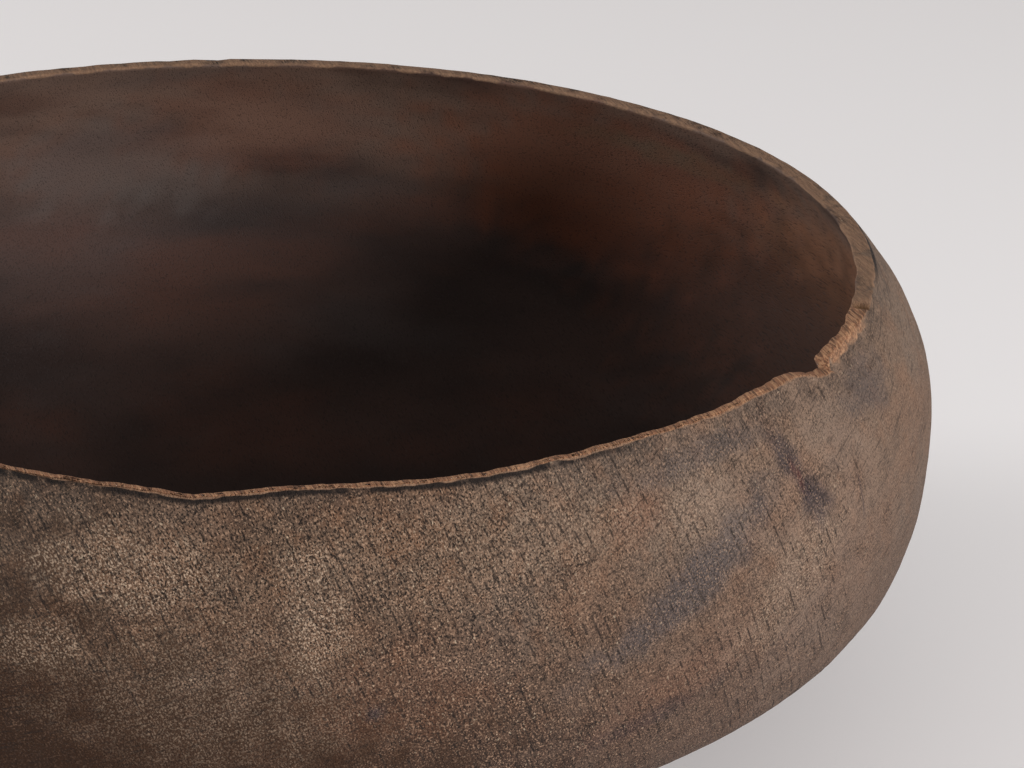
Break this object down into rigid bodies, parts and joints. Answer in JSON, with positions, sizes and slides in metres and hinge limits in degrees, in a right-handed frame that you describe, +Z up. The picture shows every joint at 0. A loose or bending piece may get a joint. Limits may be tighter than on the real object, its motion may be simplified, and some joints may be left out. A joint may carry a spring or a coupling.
{
  "type": "carved wooden bowl",
  "caption": "Squat round bowl carved from one block of dark weathered wood, belly wider than the incurved mouth, small flat foot, old bite out of the rim.",
  "frame": {"origin": "centre of the flat foot, on the surface that the bowl stands on", "axes": "+Z up along the axis that the bowl is round about; -Y towards the side of the bowl with the thin worn rim, the bite in the rim 60 degrees round from it towards +X"},
  "size_m": [0.253, 0.253, 0.0875],
  "materials": {
    "aged_wood": "weathered, dry, dull"
  },
  "bodies": {
    "root": {"bowl": "aged_wood"}
  },
  "joints": []
}
